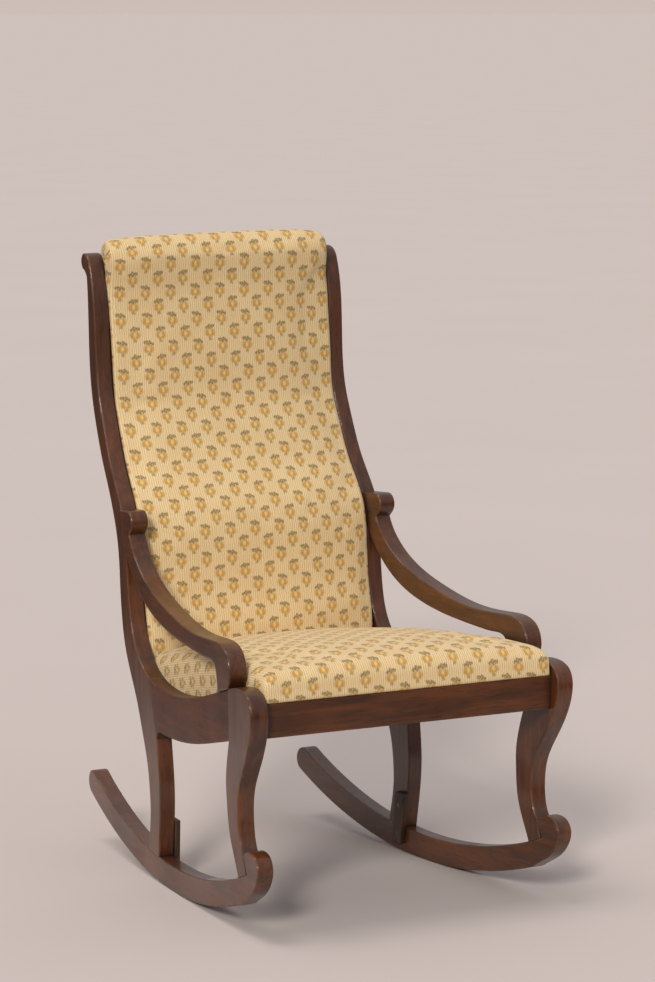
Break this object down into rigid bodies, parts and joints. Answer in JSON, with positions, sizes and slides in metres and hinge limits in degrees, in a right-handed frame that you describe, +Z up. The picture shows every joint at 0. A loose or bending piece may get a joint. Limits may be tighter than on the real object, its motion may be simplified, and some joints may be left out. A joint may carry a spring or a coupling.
{
  "type": "rocking chair",
  "caption": "Upholstered wooden rocking chair with sawn scroll side frames fixed on curved rockers, open arms, a stuffed seat and a tall padded back under a round roll.",
  "frame": {"origin": "centre of the bounding box in plan, on the floor under the rockers", "axes": "+Z up, the front of the chair faces -Y, +X to the right of someone who looks at its front"},
  "size_m": [0.58, 0.7839, 1.0489],
  "materials": {
    "mahogany": "satin",
    "cleat_wood": "satin",
    "beech": "matte",
    "dowel_wood": "matte",
    "sprigged_cloth": "matte",
    "jute_webbing": "matte",
    "burlap": "matte",
    "dust_cloth": "matte",
    "steel": "satin"
  },
  "bodies": {
    "root": {"left_back_post": "mahogany", "left_side_rail": "mahogany", "left_front_leg": "mahogany", "left_rocker": "mahogany", "left_arm": "mahogany", "left_cleat": "cleat_wood", "right_back_post": "mahogany", "right_side_rail": "mahogany", "right_front_leg": "mahogany", "right_rocker": "mahogany", "right_arm": "mahogany", "right_cleat": "cleat_wood", "front_rail": "mahogany", "rear_rail": "mahogany", "crest_rail": "beech", "lower_back_rail": "beech", "left_front_block": "beech", "right_front_block": "beech", "left_rear_block": "beech", "right_rear_block": "beech", "seat_frame_front": "beech", "seat_frame_rear": "beech", "seat_frame_left": "beech", "seat_frame_right": "beech", "seat_webbing": "jute_webbing", "seat_burlap": "burlap", "seat_dust_cloth": "dust_cloth", "seat_cushion": "sprigged_cloth", "back_cushion": "sprigged_cloth", "crest_roll": "sprigged_cloth", "back_lining": "burlap", "back_webbing": "jute_webbing", "back_cover": "sprigged_cloth", "side_frame_dowels": "dowel_wood", "cross_rail_dowels": "dowel_wood", "seat_frame_dowels": "dowel_wood", "cleat_screws": "steel", "block_screws": "steel", "dust_cloth_tacks": "steel"}
  },
  "joints": []
}
